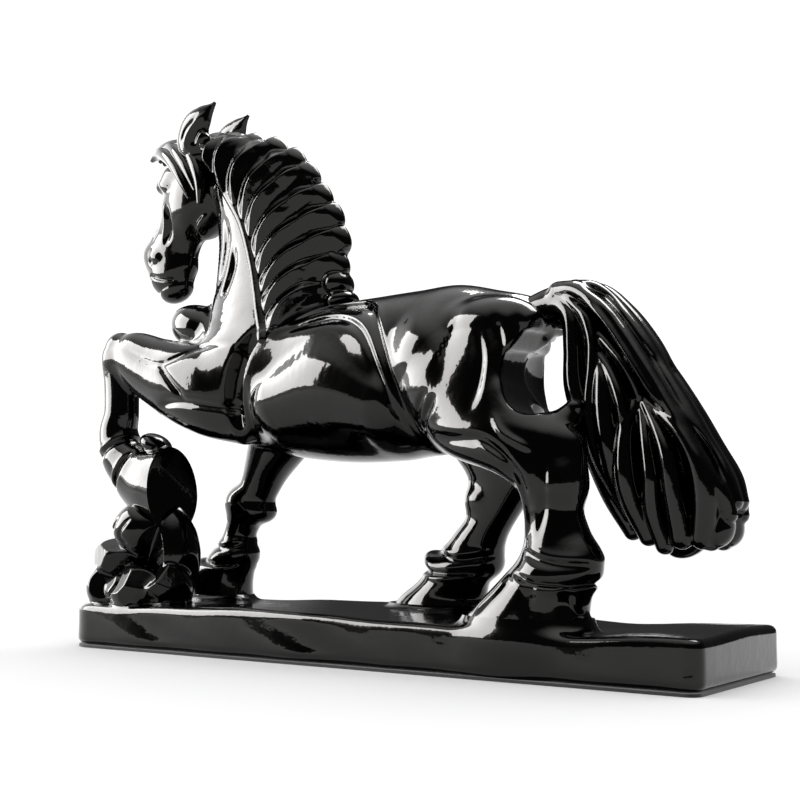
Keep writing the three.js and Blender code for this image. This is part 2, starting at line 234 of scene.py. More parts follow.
def facing_out(points, quads):
    """Turns all the faces round if they point into the body."""
    a, b, c = (points[quads[:, k]] for k in (0, 1, 2))
    volume = np.einsum("ij,ij->i", a, np.cross(b, c)).sum()
    return quads if volume > 0 else quads[:, ::-1]


def cast(name, clay, cuts=(), near=None):
    """Makes a piece of the clay, cut flat at its joints. Each cut is a point and the direction of
    what is kept. Where a cut leaves more bodies than one, the one nearest a point is kept."""
    points, quads = clay.skin()
    mesh = bpy.data.meshes.new(name)
    mesh.from_pydata(points * MM, [], facing_out(points, quads).tolist())
    shape = bmesh.new()
    shape.from_mesh(mesh)
    for at, way in cuts:
        everything = shape.verts[:] + shape.edges[:] + shape.faces[:]
        made = bmesh.ops.bisect_plane(
            shape, geom=everything, dist=1e-7, plane_co=Vector(at) * MM,
            plane_no=-Vector(way), clear_outer=True,
        )
        rim = [e for e in made["geom_cut"] if isinstance(e, bmesh.types.BMEdge)]
        caps = bmesh.ops.triangle_fill(shape, edges=rim, use_beauty=False, normal=-Vector(way))
        for face in caps["geom"]:
            if isinstance(face, bmesh.types.BMFace):
                face.material_index = 1
    keep_one_body(shape, near)
    bmesh.ops.dissolve_degenerate(shape, dist=1e-7, edges=shape.edges[:])
    shape.to_mesh(mesh)
    shape.free()
    smooth_by_clay(mesh, clay)
    piece = bpy.data.objects.new(name, mesh)
    bpy.context.collection.objects.link(piece)
    return piece


def keep_one_body(shape, near):
    """Deletes all but the largest body, or the one nearest the given point."""
    left = set(shape.verts)
    bodies = []
    while left:
        todo = [left.pop()]
        body = []
        while todo:
            vert = todo.pop()
            body.append(vert)
            for edge in vert.link_edges:
                other = edge.other_vert(vert)
                if other in left:
                    left.remove(other)
                    todo.append(other)
        bodies.append(body)
    if near is None:
        best = max(bodies, key=len)
    else:
        place = Vector(near) * MM
        best = min(bodies, key=lambda body: min((v.co - place).length for v in body))
    loose = [v for body in bodies if body is not best for v in body]
    bmesh.ops.delete(shape, geom=loose, context="VERTS")


def smooth_by_clay(mesh, clay):
    """Shades the piece with the clay's own slopes, so that a seam between castings is not seen.
    The flat joint faces, which are the second material, stay flat."""
    count = len(mesh.vertices)
    points = np.empty(count * 3)
    mesh.vertices.foreach_get("co", points)
    slopes = clay.slopes(points.reshape(-1, 3) / MM)
    corners = np.empty(len(mesh.loops), dtype=int)
    mesh.loops.foreach_get("vertex_index", corners)
    normals = slopes[corners]
    for face in mesh.polygons:
        face.use_smooth = True
        if face.material_index == 1:
            normals[list(face.loop_indices)] = face.normal
            face.material_index = 0
    mesh.normals_split_custom_set(normals.tolist())


# ---------------------------------------------------------------- the horse's body
# Every limb is a row of oval rings in mm: x, y, z, half-width and half-depth.
BARREL = [
    (-104, 0, 131, 12, 13), (-96, 0, 130, 22, 24), (-82, 0, 127, 27, 32), (-64, 0, 124, 29, 33.5),
    (-45, 0, 121, 29, 34.5), (-20, 0, 119.5, 30, 35.5), (5, 0, 120, 30, 36),
    (20, 0, 121, 29.5, 35.5), (38, 0, 122, 29, 35), (56, 0, 122, 25, 31), (68, 0, 124, 18, 26),
    (75, 0, 130, 11, 17),
]
NECK = [
    (-60, 0, 126, 29, 34), (-66, 0, 138, 27, 35), (-67, 0, 154, 23, 34), (-68, 0, 170, 19, 31),
    (-72, 0, 190, 16, 27), (-80, 0, 210, 14, 21), (-90, 0, 228, 12.5, 15.5),
    (-102, 0, 236, 11, 10),
]
HEAD = [
    (-90, 0, 229, 11, 15), (-103, 0, 225, 12, 16), (-114, 0, 219, 13.5, 17.5),
    (-121, 0, 210, 13, 16.5), (-127, 0, 199, 9.8, 13.5), (-132, 0, 189, 9, 16),
    (-131, 0, 179, 9, 14), (-129, 0, 172, 7, 9.5),
]
HIND_LEFT = [
    (60, -15, 134, 14, 24), (53, -19, 114, 16, 31), (60, -22, 101, 15, 30), (69, -23, 92, 15, 33),
    (76, -24, 84, 13.5, 29), (86, -25, 77, 12, 19), (91, -25, 70, 11, 13), (92, -25, 63, 10, 11.5),
    (94, -25, 54, 11, 12.5), (94, -25, 45, 13.5, 15), (90, -25, 37, 15.5, 18.5),
    (84, -25, 28, 17, 22), (81, -25, 20, 17.5, 27), (80, -25, 15, 18, 28),
]
HIND_RIGHT = [
    (48, 15, 134, 13, 22), (40, 19, 114, 14, 26.5), (41, 22, 100, 14, 26), (43, 23, 88, 13, 24),
    (43, 23, 80, 12, 18), (43, 23, 73, 11, 15), (40, 23, 64, 10, 11.5), (32, 23, 53, 10.5, 12),
    (25, 24, 43, 12.5, 15), (18, 24, 33, 14, 16), (12, 25, 26, 15.5, 20), (10, 25, 20, 16.5, 23.5),
    (9, 25, 15, 17, 24),
]
FORE_RIGHT = [
    (-64, 16, 120, 13, 24), (-74, 19, 101, 13, 20), (-82, 21, 89, 12, 16),
    (-90, 22, 78, 10.5, 11.5), (-97, 22, 67, 9.5, 11), (-105, 22, 51, 8, 8.5),
    (-110, 22, 40, 11.5, 13), (-114, 22, 29, 13, 15), (-117, 22, 20, 15, 18),
    (-118, 22, 15, 15.5, 18.5),
]
UPPER_ARM = [
    (-66, -16, 112, 13, 20), (-84, -20, 117, 13, 21), (-102, -21, 122, 12.5, 19),
    (-120, -20.5, 128.5, 11, 16), (-135, -20, 135.5, 10, 13), (-145, -20, 138.5, 8, 9.5),
]
RAISED_CANNON = [
    (-146, -20, 141, 7.5, 7.5), (-146.5, -20, 136, 8.8, 8.8), (-145, -20, 124, 8, 9),
    (-144.5, -20, 110, 8, 9), (-146, -20, 100, 9.5, 9.5), (-142, -20, 89, 10.5, 10.5),
    (-135, -19.5, 82.5, 11.5, 12.5), (-129, -19, 78.5, 12.5, 15.5),
    (-120, -18.7, 75, 14.5, 18.5), (-109, -18.5, 72, 16, 20.5),
]
RIB_CAGE = [(-43, 0, 111, 33, 23), (-16, 0, 116, 35, 28), (9, 0, 108, 33.5, 22)]
RUMP = [(34, 0, 124, 33.5, 27), (43, 0, 116, 34.5, 30), (53, 0, 117, 29, 24)]


def both_sides(stroke, rows, *more, **also):
    """Makes the same stroke on the left and on the right."""
    rows = np.array(rows, dtype=float)
    for way in (1, -1):
        stroke(rows * (1, way, 1, 1, 1), *more, **also)


def sculpt_body(clay):
    """Everything of the horse but its hair. Every casting is cut from this same clay."""
    clay.limb(BARREL, 2, "upright")
    clay.limb(RIB_CAGE, 2.5)
    clay.limb(RUMP, 3)
    clay.limb(NECK, 5)
    clay.limb(HIND_LEFT, 4, "level")
    clay.limb(HIND_RIGHT, 4, "level")
    clay.limb(FORE_RIGHT, 5, "level")
    for way in (-1, 1):
        clay.ball((-76, way * 15, 124), (20, 15.5, 25), 20, blend=4)
        clay.ball((-104, way * 8.5, 149), (17, 12.5, 11), 20, blend=5)
    clay.limb(UPPER_ARM, 2.5)
    clay.limb(RAISED_CANNON, 3)
    sculpt_flanks(clay)
    sculpt_feet(clay)
    sculpt_head(clay)


def sculpt_feet(clay):
    """Knees, fetlocks with their feather of hair, and the edges of the hooves."""
    clay.ball((102, -25, 43), (9.5, 10, 9), blend=5)
    clay.ball((97, -25, 72), (8, 9, 9), blend=5)
    clay.ball((33, 24, 41), (8, 10, 7), blend=4)
    clay.ball((14, 24, 38), (11, 12, 5), 40, blend=4)
    clay.ball((34, 22, 67), (8, 9, 8), blend=5)
    clay.ball((-102, 22, 68), (9, 9.5, 8), blend=5)
    clay.ball((-92, 22, 63), (8, 9, 6), blend=4)
    clay.ball((-102, 22, 43), (7, 9, 8), blend=4)
    clay.ball((-123, 22, 29), (14, 14, 11), 20, blend=4)
    clay.ball((-122, -18.5, 94), (8, 8, 4.5), 30, blend=1.5)
    clay.crease([(-142, 72), (-136, 80), (-129, 92)], 1.1, 1.8, (-1,), lip=0.6)
    clay.crease([(-152, 88), (-144, 92), (-132, 100)], 1.3, 1.4, (-1,), lip=0.6)
    clay.crease([(83, 49), (97, 44), (113, 43)], 1.6, 1.0, (-1,), lip=0.7)
    clay.crease([(81, 40), (90, 36), (104, 35), (112, 37)], 1.2, 1.3, (-1,), lip=-0.6)
    clay.crease([(80, 39), (74, 32), (62, 22)], 2.0, -1.6, (-1,))
    clay.crease([(92, 37), (90, 30), (92, 22)], 2.6, 1.2, (-1,))
    clay.crease([(103, 36), (102, 28), (106, 21)], 1.8, 1.8, (-1,))
    clay.crease([(2, 38), (18, 36), (38, 37)], 1.2, 1.3, (1,), lip=-0.6)
    clay.crease([(12, 47), (26, 43), (42, 45)], 1.5, 0.8, (1,), lip=0.6)
    clay.crease([(-126, 41), (-112, 37), (-96, 38)], 1.2, 1.3, (1,), lip=-0.6)
    clay.crease([(-122, 49), (-108, 46), (-95, 48)], 1.5, 0.8, (1,), lip=0.6)


def sculpt_flanks(clay):
    """The channel behind the shoulder, the folds of the flank and the lines of the muscles."""
    channel = [
        (-49, -32, 148, 7, 3), (-57, -32, 138, 9, 4.5), (-63, -32, 124, 9.5, 5),
        (-65, -32, 110, 9.5, 5), (-63, -31, 97, 8, 4.5), (-59, -28, 87, 6, 3),
    ]
    both_sides(clay.limb, channel, blend=1.5, take=True)
    # The back of the left thigh, and the gap between the buttocks and the tail.
    clay.limb([(84, -24, 82, 11, 11), (92, -23, 92, 8, 8), (98, -18, 101, 5, 4)], 3)
    clay.ball((84.5, 0, 115), (13, 70, 18), blend=2, take=True)
    clay.ball((86, 0, 128), (7, 60, 12), blend=2, take=True)
    clay.ball((77, 22, 117), (17, 30, 16), blend=2, take=True)
    # The double line that runs from the withers down to the flank.
    clay.crease([(-48, 138), (-32, 143), (-16, 145), (-2, 141), (8, 132), (17, 114), (24, 96),
                 (29, 84)], 1.4, 1.3, lip=0.5)
    clay.crease([(-44, 141), (-28, 150), (-10, 151), (2, 148), (12, 136), (21, 116), (27, 97),
                 (31, 86)], 1.6, 2.4, lip=0.6)
    # The stifle and the belly line of the left thigh.
    clay.crease([(47, 108), (38, 98), (33, 88)], 1.5, 1.6)
    clay.crease([(43, 111), (35, 102), (29, 92), (30, 82)], 1.3, 1.2)
    clay.crease([(33, 79), (47, 75), (63, 73)], 1.5, 1.2, sides=(-1,))
    clay.crease([(40, 93), (54, 91), (70, 89), (83, 77), (87, 66)], 2, 1.2, (-1,), lip=0.8)
    # The grooves between the muscles of the croup.
    clay.crease([(60, 136), (64, 122), (64, 109), (62, 98)], 2.2, 1.8, fade=0.4)
    clay.crease([(66, 142), (70, 130), (72, 118), (71, 108)], 2.2, 1.8, fade=0.4)
    clay.crease([(75, 143), (77, 133), (78, 126), (76, 114)], 2.0, 1.5, fade=0.4)
    # The cords of the left hind leg.
    clay.crease([(71, 101), (77, 92), (85, 87), (91, 84)], 1.2, -1.4, (-1,), fade=0.4)
    clay.crease([(63, 90), (74, 83), (81, 78)], 1.2, -1.4, (-1,), fade=0.4)
    clay.crease([(81, 78), (83, 70), (85, 59), (84, 50)], 1.6, -1.2, (-1,), fade=0.3)
    clay.crease([(93, 84), (94, 74), (93, 63), (91, 50)], 1.8, 1.0, (-1,), fade=0.3)
    # The forearm, the elbow, the breast and the long muscles of the neck.
    clay.crease([(-109, 131), (-99, 121), (-90, 112)], 1.6, 1.4)
    clay.crease([(-139, 141), (-109, 130), (-84, 137), (-63, 136)], 1.6, 1.0, (-1,))
    clay.crease([(-112, 111), (-96, 112), (-74, 109), (-60, 107)], 1.8, 1.8)
    clay.crease([(-50, 155), (-52, 142), (-59, 133), (-67, 136)], 1.6, 1.6)
    clay.crease([(-96, 161), (-91, 151), (-86, 142)], 1.5, 1.2)
    clay.crease([(-79, 188), (-77, 176), (-80, 165), (-82, 159)], 2.0, 2.2, fade=0.4)
    clay.crease([(-87, 203), (-84, 188), (-86, 174), (-91, 163)], 2.4, 1.6, fade=0.4)


def sculpt_head(clay):
    """The skull, the muzzle and the marks of the face."""
    clay.limb(HEAD, 3)
    clay.ball((-114, 0, 211), (15, 13.8, 17), blend=3)
    clay.ball((-142, 0, 189), (9, 6.5, 7), 30, blend=4)
    clay.ball((-125, 0, 225), (12, 12.5, 9), blend=3)
    clay.ball((-136, 0, 225), (6.5, 6.5, 4.5), -20, blend=3.5)
    for way in (-1, 1):
        clay.ball((-127, way * 9.5, 221), (6, 3.6, 3.0), 25, blend=2)
        clay.ball((-136, way * 6.5, 187.5), (4.5, 3.2, 3), 30, blend=2.5)
        clay.ball((-139, way * 10, 185), (1.6, 2.2, 1.8), 30, blend=1, take=True)
    clay.crease([(-127, 213), (-126, 203), (-129, 191)], 1.7, 2.6, lip=-0.6, fade=0.35)
    clay.crease([(-135, 212), (-136, 204), (-140, 194)], 1.4, 1.2, fade=0.4)
    clay.crease([(-141, 179), (-132, 176), (-122, 175)], 0.9, 1.2)
    clay.crease([(-101, 208), (-109, 201), (-114, 192), (-117, 182)], 2.0, 1.6, lip=0.8)
    clay.crease([(-113, 191), (-108, 195), (-101, 196)], 1.2, 0.8)


# ---------------------------------------------------------------- the hair
# The front ridge of each lock of the mane, from its root on the neck to its tip on the crest.
MANE_RIDGES = [
    [(-97, 219), (-102, 230), (-104, 239)],
    [(-91, 214), (-95, 227), (-94, 240)],
    [(-84, 209), (-87, 222), (-85, 233), (-81, 239)],
    [(-77, 203), (-77, 217), (-73, 228), (-68, 235)],
    [(-71, 195), (-68, 211), (-63, 221), (-56, 228)],
    [(-66, 187), (-63, 201), (-56, 212), (-48, 220)],
    [(-61, 177), (-58, 189), (-50, 201), (-40, 209)],
    [(-58, 169), (-54, 180), (-45, 191), (-33, 199)],
    [(-55, 160), (-50, 170), (-42, 180), (-29, 188)],
    [(-52, 150), (-48, 160), (-41, 169), (-30, 177)],
    [(-48, 141), (-45, 150), (-40, 158), (-33, 165)],
]
# The line where the mane springs from the neck.
MANE_EDGE = [(-95, 227), (-85, 212), (-73, 196), (-65, 179), (-59, 163), (-54, 149), (-50, 138)]
TAIL = [
    (70, 0, 141, 8, 8), (83, 0, 143.5, 9, 9), (94, 0, 139, 9.5, 9.5), (102, 0, 127, 10, 11.5),
    (108, 0, 106, 10, 15), (118, 0, 82, 10.5, 17), (128, 0, 64, 9.5, 15), (135, 0, 53, 7, 10),
]
# The strands of the tail's left side, which the right side mirrors.
STRANDS = [
    [(84, -2, 146, 7, 7), (91, -5, 138, 7, 5), (93, -7, 125, 7, 4.5), (94, -8, 111, 7, 5),
     (98, -8, 97, 6.5, 5), (103, -8, 82, 6, 5), (109, -8, 68, 5.5, 4.5), (116, -7, 55, 4, 3.5)],
    [(86, -4, 149, 5, 4), (97, -8, 140, 5, 3.5), (102, -10, 129, 5, 2.8),
     (103, -11.5, 118, 5, 2.5), (102, -12.5, 102, 5, 2.5), (104, -12.5, 86, 4.5, 2.5),
     (110, -11, 72, 4, 2.5), (116, -9, 60, 3, 2)],
    [(104, -8, 125, 4, 2), (107, -11, 112, 6, 4), (108, -12, 99, 6.5, 5), (110, -12.5, 86, 6.5, 5),
     (112, -11, 74, 5.5, 4.5), (117, -9, 61, 4, 3)],
    [(103, -9, 124, 4, 2.5), (110, -11, 115, 5, 2.8), (114.5, -12.5, 106, 5.5, 2.8),
     (116.5, -13, 96, 5, 2.5), (115, -12, 84, 4, 2)],
    [(120, -9, 105, 3, 2), (117, -12.5, 93, 5.5, 3.2), (117, -14, 78, 6.5, 4.6),
     (119, -13, 66, 6, 4.5), (124, -11, 53, 4, 3.5)],
    [(121, -9, 103, 3, 2), (125, -12.5, 88, 5, 2.8), (127, -13.5, 75, 5.5, 3.4),
     (127, -12.5, 62, 5, 3.6), (130, -10, 50, 4.5, 3.5)],
    [(122, -9, 104, 3, 2), (129.5, -12, 92, 5, 2.6), (133.5, -13, 82, 6, 3.4),
     (135, -12.5, 70, 6, 4), (137, -11, 53, 5, 4.5)],
    [(122, -8, 105, 3, 2), (133, -10.5, 96, 5, 2.6), (141, -11.5, 86, 5.5, 3.4),
     (145, -11, 76, 6, 4.4), (146, -10, 65, 6, 5), (144, -9, 53, 5, 4.5)],
    [(84, -3, 149, 6, 4.5), (94, -6, 148, 6, 4), (104, -8.5, 141, 6, 3.8),
     (112, -9.5, 132, 6, 3.8), (120, -10, 120, 6, 3.8), (128, -9.5, 107, 6, 4),
     (136, -9, 95, 6, 4), (144, -9, 82, 6, 4.2), (150, -8, 70, 5, 4), (153, -6, 61, 3.5, 3)],
    [(90, -1, 150.5, 5, 3.5), (100, -4, 147.5, 5, 4), (110, -4, 138.5, 5.5, 4),
     (119, -4, 127, 5.5, 4), (125, -3, 118, 4.5, 3.5), (127, -3, 115, 3.5, 3)],
    [(118, -2, 126, 4, 3), (127, -4, 114, 5, 3.6), (136, -4, 99.5, 6, 4.2), (143, -4, 87, 6, 4.2),
     (150, -4, 75, 6, 4.2), (153, -3, 66, 4.5, 4)],
    [(102, -8, 132, 4, 2.2), (110, -9.5, 124, 4.5, 2.6), (117, -10.5, 116, 4.5, 2.6),
     (121, -10, 105, 3, 2)],
    [(150, -4, 60, 5.5, 4.5), (149, -5, 55, 6, 5), (146, -6, 52, 5, 4)],
]
# The boulders of the rock: the middle and the three radii of each.
BOULDERS = [
    (-124, -25, 54, 13, 12, 12), (-134, -27, 41, 14, 13, 8.5), (-138, -28, 27, 11, 12, 11),
    (-120, -31, 27, 14, 11, 10.5), (-106, -24, 27, 9, 12, 11), (-112, -16, 42, 12, 12, 22),
    (-128, -13, 38, 16, 12, 22),
]


def sculpt_mane(clay):
    """The mane: flat sickle locks, lapped one over the next like the blades of a fan. It is
    worked out as its half-thickness over the middle plane, and taken on both sides."""
    x = clay.low[0] + clay.pitch * np.arange(clay.count[0])[:, None]
    z = clay.low[2] + clay.pitch * np.arange(clay.count[2])[None, :]
    neck = half_width_at(NECK, x, z)
    _, behind, past = beside(spline(MANE_EDGE), x, z)
    gap = np.hypot(behind, past)
    # A rounded cord lies along the edge. Past it, the thickness falls below nought.
    cord, proud_cord = 2.6, 3.2
    bulge = proud_cord * np.sqrt(np.clip(1 - (gap / cord) ** 2, 0, 1))
    thick = np.where(gap < cord, neck + bulge, -4 * gap)
    last = len(MANE_RIDGES) - 1
    for i, ridge in enumerate(MANE_RIDGES):
        path = spline(ridge, 12)
        along, side, past = beside(path, x, z)
        part = along / (len(path) - 1)
        back = -side
        # The lock slopes gently behind its ridge and more steeply before it.
        broad = (3.2 + 8.2 * np.sin(np.pi * (0.1 + 0.62 * part))) * (0.75 if i == last else 1)
        steep = 7.0 + 2.0 * max(0, 1 - i / 6)
        ramp = np.clip(1 - np.where(back > 0, back / broad, -back / steep), 0, 1)
        ramp = np.where(back > 0, ramp**1.5, ramp**0.9)
        proud = 1.2 + 6.2 * np.sin(np.pi * (0.04 + 0.82 * part))
        # It lies on the neck, and over the crest on the body of the mane itself.
        crest = 4 + 9 * (1 - part)
        rest = 0.5 * (neck + crest + np.hypot(neck - crest, 3))
        groove = np.exp(-(((back - 0.42 * broad) / 1.3) ** 2))
        groove = 0.6 * groove * np.sin(np.pi * np.clip(part, 0, 1))
        shape = rest + proud * ramp - groove
        over = np.where(back > 0, back - broad, -back - steep)
        shape = np.where(over > 0, -6 * over, shape)
        # The end of the lock is rounded off.
        shape = shape - 2.6 * (np.clip(5 * part - 4, 0, 1) * (back - 4.5) / 5.5) ** 2
        droop = 0.3 * past**2 + 0.3 * np.abs(past)
        shape = np.where(part >= 1, shape - droop, shape)
        thick = np.maximum(thick, np.where(behind > -0.5, shape, -4 * gap))
    slope = np.hypot(*np.gradient(thick, clay.pitch))
    y = np.abs(clay.low[1] + clay.pitch * np.arange(clay.count[1]))
    shape = (y[None, :, None] - thick[:, None, :]) / np.sqrt(1 + slope**2)[:, None, :]
    clay.field[:] = np.minimum(clay.field, shape)
    # The rolled tuft at the withers.
    clay.ball((-29, 0, 164), (6.5, 8.5, 6.5), blend=0.8)
    clay.ball((-27, 0, 156), (7.5, 9, 4.5), -15, blend=0.8)


def sculpt_tail(clay):
    """The body of the tail, with its strands laid on both sides and combed through."""
    clay.limb(TAIL, 3)
    for strand in STRANDS:
        both_sides(clay.limb, strand, 0.8)
    clay.crease([(96, 151), (107, 144), (116, 133), (124, 121), (132, 108), (140, 94), (148, 82),
                 (154, 70)], 1.1, 1.8, fade=0.1)
    clay.crease([(104, 147), (113, 138), (121, 126.5), (129, 113), (137, 99), (145, 86)],
                2.0, -1.6, lip=-0.5, fade=0.2)
    clay.crease([(98, 144), (108, 135), (117, 122.5), (125, 110), (133, 97)], 1.6, -1.4, lip=-0.5,
                fade=0.2)
    clay.crease([(90, 146), (102, 138.5), (110, 129), (118, 117), (126, 104), (133, 97)], 1.1, 1.6,
                fade=0.15)


EAR = [
    (-107, -11, 232, 4.5, 6.5), (-108, -12, 239, 5, 10), (-106.5, -12.5, 246, 4.2, 9.5),
    (-101.5, -12.5, 251.5, 3, 5.8), (-97, -12, 255, 1.5, 2), (-95, -12, 256.5, 0.8, 0.9),
]


def sculpt_ears(clay):
    """Leaf-shaped ears with a raised midrib."""
    both_sides(clay.limb, EAR, 0.5)
    clay.crease([(-110, 234), (-106, 243), (-98, 253)], 1.3, -1.6)
    clay.crease([(-112, 238), (-109, 245), (-102, 250)], 1.3, 0.8)
    clay.crease([(-105, 236), (-103, 241), (-99, 247)], 1.3, 0.8)


def sculpt_rocks(clay):
    """The heap of boulders that takes the raised hoof."""
    chance = np.random.default_rng(11)
    for x, y, z, *radii in BOULDERS:
        ways = chance.normal(size=(9, 3))
        ways /= np.linalg.norm(ways, axis=1)[:, None]
        clay.ball((x, y, z), [1.08 * radius for radius in radii], blend=1.6, facets=ways)
    clay.crease([(-119, 60), (-125, 52), (-121, 46)], 0.9, 0.9, (-1,))
    clay.crease([(-126, 61), (-131, 53), (-129, 47)], 0.9, 0.8, (-1,))
    clay.crease([(-127, 37), (-124, 30), (-128, 22)], 1.0, 1.6, (-1,))


def rounded(a, b, radius):
    """The distance to a body that is inside both a and b, its shared edge rounded."""
    a, b = a + radius, b + radius
    return np.hypot(np.maximum(a, 0), np.maximum(b, 0)) + np.minimum(np.maximum(a, b), 0) - radius


def sculpt_base(clay):
    """A low slab with soft edges, its sides a little wavy, hollow underneath."""
    low, high = (np.array(corner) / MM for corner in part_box("base_casting"))
    x, y, z = (o + clay.pitch * np.arange(n) for o, n in zip(clay.low, clay.count))
    x, y, z = x[:, None, None], y[None, :, None], z[None, None, :]
    middle, half = (low + high) / 2, (high - low) / 2
    wall, edge = 5.0, 3.0
    corner = np.where(x < 0, 15.0, 6.0)  # rounder before the rock than under the tail
    wave = 0.5 * np.sin(x / 17 + 1) + 0.4 * np.sin(x / 7.3 + y / 9)
    end = np.abs(x - middle[0]) - half[0]
    flank = np.abs(y - middle[1]) - half[1] + 0.9 + 0.5 * wave
    flank = flank + 0.3 * np.sin(x / 9 + z / 3.5) * np.sin(x / 31 + 2)
    plan = rounded(end, flank, corner)
    # The top sinks behind the hind hooves and swells under the belly.
    dip = 3.0 * np.exp(-(((x - 100) / 34) ** 2)) - 1.2 * np.exp(-(((x + 45) / 45) ** 2))
    dip = dip - 0.4 * wave - 0.5 * np.sin(x / 23 + y / 13)
    up = np.maximum(z - high[2] + dip, low[2] - z)
    clay.field[:] = rounded(plan, up, edge)
    # The hooves and the rock run into the base with soft fillets.
    for leg in (HIND_LEFT, HIND_RIGHT, FORE_RIGHT):
        clay.limb(leg[-2:], 6, "level")
    sculpt_rocks(clay)
    cavity = np.maximum(plan, z - high[2]) + wall
    clay.field[:] = np.maximum(clay.field, -cavity)


# ---------------------------------------------------------------- materials
def colour(code):
    """A linear colour from an sRGB code such as #c8b496."""
    parts = [int(code[k : k + 2], 16) / 255 for k in (1, 3, 5)]
    return [((v + 0.055) / 1.055) ** 2.4 if v > 0.04045 else v / 12.92 for v in parts] + [1.0]


def node(tree, kind, **settings):
    """Adds a node. A setting named after a socket sets that socket; the rest are properties."""
    made = tree.nodes.new(kind)
    for name, value in settings.items():
        if hasattr(made, name):
            setattr(made, name, value)
        else:
            made.inputs[name.replace("_", " ")].default_value = value
    return made


SMUDGE = 35.7  # mm across a smudge left by the polishing cloth
RIPPLE = 11.1  # mm across a ripple of the brushed-on lacquer
FIBRE = 1.1  # mm across a tuft of the felt; the real fibres are finer, and wouldn't show


def metal(name, code, rough, coat=0.0, ripple=0.0):
    """A metal finish: its colour, its roughness, a clear coat and a ripple of the surface."""
    made = bpy.data.materials.new(name)
    made.use_nodes = True
    tree = made.node_tree
    shader = tree.nodes["Principled BSDF"]
    shader.inputs["Base Color"].default_value = colour(code)
    shader.inputs["Metallic"].default_value = 1.0
    shader.inputs["Roughness"].default_value = rough
    shader.inputs["Coat Weight"].default_value = coat
    shader.inputs["Coat Roughness"].default_value = 0.03
    if ripple:
        place = node(tree, "ShaderNodeTexCoord")
        smudge = node(tree, "ShaderNodeTexNoise", Scale=1 / (SMUDGE * MM), Detail=4.0)
        smudge.inputs["Roughness"].default_value = 0.6
        spread = node(tree, "ShaderNodeMapRange")
        for socket, value in zip(spread.inputs[1:5], (0.35, 0.75, 0.7 * rough, 1.7 * rough)):
            socket.default_value = value
        tree.links.new(place.outputs["Object"], smudge.inputs["Vector"])
        tree.links.new(smudge.outputs["Fac"], spread.inputs["Value"])
        tree.links.new(spread.outputs["Result"], shader.inputs["Roughness"])
        noise = node(tree, "ShaderNodeTexNoise", Scale=1 / (RIPPLE * MM), Detail=3.0)
        noise.inputs["Roughness"].default_value = 0.55
        tree.links.new(place.outputs["Object"], noise.inputs["Vector"])
        bump = node(tree, "ShaderNodeBump", Strength=0.5, Distance=ripple)
        tree.links.new(noise.outputs["Fac"], bump.inputs["Height"])
        tree.links.new(bump.outputs["Normal"], shader.inputs["Normal"])
        tree.links.new(bump.outputs["Normal"], shader.inputs["Coat Normal"])
    return made


# Cast bronze, patinated black, polished and lacquered: nearly black, with sharp reflections that
# the smudges dull here and there and the ripple bends.
bronze = metal("black_patinated_bronze_lacquered", "#1a1918", 0.12, coat=0.5, ripple=0.0004)
# Turned steel of the screws and washers under the base: pale grey, with soft highlights.
steel = metal("brushed_steel", "#b4b4b4", 0.35)
# Drawn brass rod of the locating pins and the sleeve: yellow and fairly bright.
brass = metal("drawn_brass", "#c9a85a", 0.25)
# Pressed wool felt glued under the base: black and dull, with a faint nap.
felt = bpy.data.materials.new("pressed_black_felt")
felt.use_nodes = True
felt_shader = felt.node_tree.nodes["Principled BSDF"]
felt_shader.inputs["Base Color"].default_value = colour("#161616")
felt_shader.inputs["Roughness"].default_value = 0.95
felt_shader.inputs["Sheen Weight"].default_value = 0.4
fibre = node(felt.node_tree, "ShaderNodeTexNoise", Scale=1 / (FIBRE * MM), Detail=2.0)
fibre_place = node(felt.node_tree, "ShaderNodeTexCoord")
fibre_bump = node(felt.node_tree, "ShaderNodeBump", Strength=0.4, Distance=0.0003)
felt.node_tree.links.new(fibre_place.outputs["Object"], fibre.inputs["Vector"])
felt.node_tree.links.new(fibre.outputs["Fac"], fibre_bump.inputs["Height"])
felt.node_tree.links.new(fibre_bump.outputs["Normal"], felt_shader.inputs["Normal"])


def finish_in(piece, material):
    """Gives a piece one finish all over."""
    piece.data.materials.clear()
    piece.data.materials.append(material)


def show(piece, stands_for):
    """Finishes a piece in bronze and lets it stand for a CAD node."""
    finish_in(piece, bronze)
    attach(piece, "root")
    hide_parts(stands_for)


# ---------------------------------------------------------------- the castings
UP, DOWN = (0, 0, 1), (0, 0, -1)
# The flat joints between the castings: a point in mm on each, and the way that it faces. The
# neck's is level here, so that it doesn't cut the rump.
LEG_LINE = (0, 0, 82)
FOOT_LINE = (0, 0, 23)
NECK_AT, NECK_WAY = (-64, 0, 163), UP
POLL_AT, POLL_WAY = (-96, 0, 222), (-0.98, 0, 0.196)
KNEE_AT, KNEE_WAY = (-120, -20.5, 128), (-0.94, 0, -0.34)
SOLE_AT, SOLE_WAY = (-111, -18.5, 75), (-1, 0.05, -0.08)
STANDING_LEG = [(LEG_LINE, DOWN), (FOOT_LINE, UP)]


def away(way):
    """The opposite direction."""
    return tuple(-v for v in way)


def casting(name, stands_for, low, high, pitch, sculpt, cuts=(), near=None):
    """Sculpts one casting in its own block of clay, between two corners, and shows it in place of
    its CAD node."""
    clay = Clay(low, high, pitch * (1))
    sculpt(clay)
    show(cast(name, clay, cuts, near), stands_for)


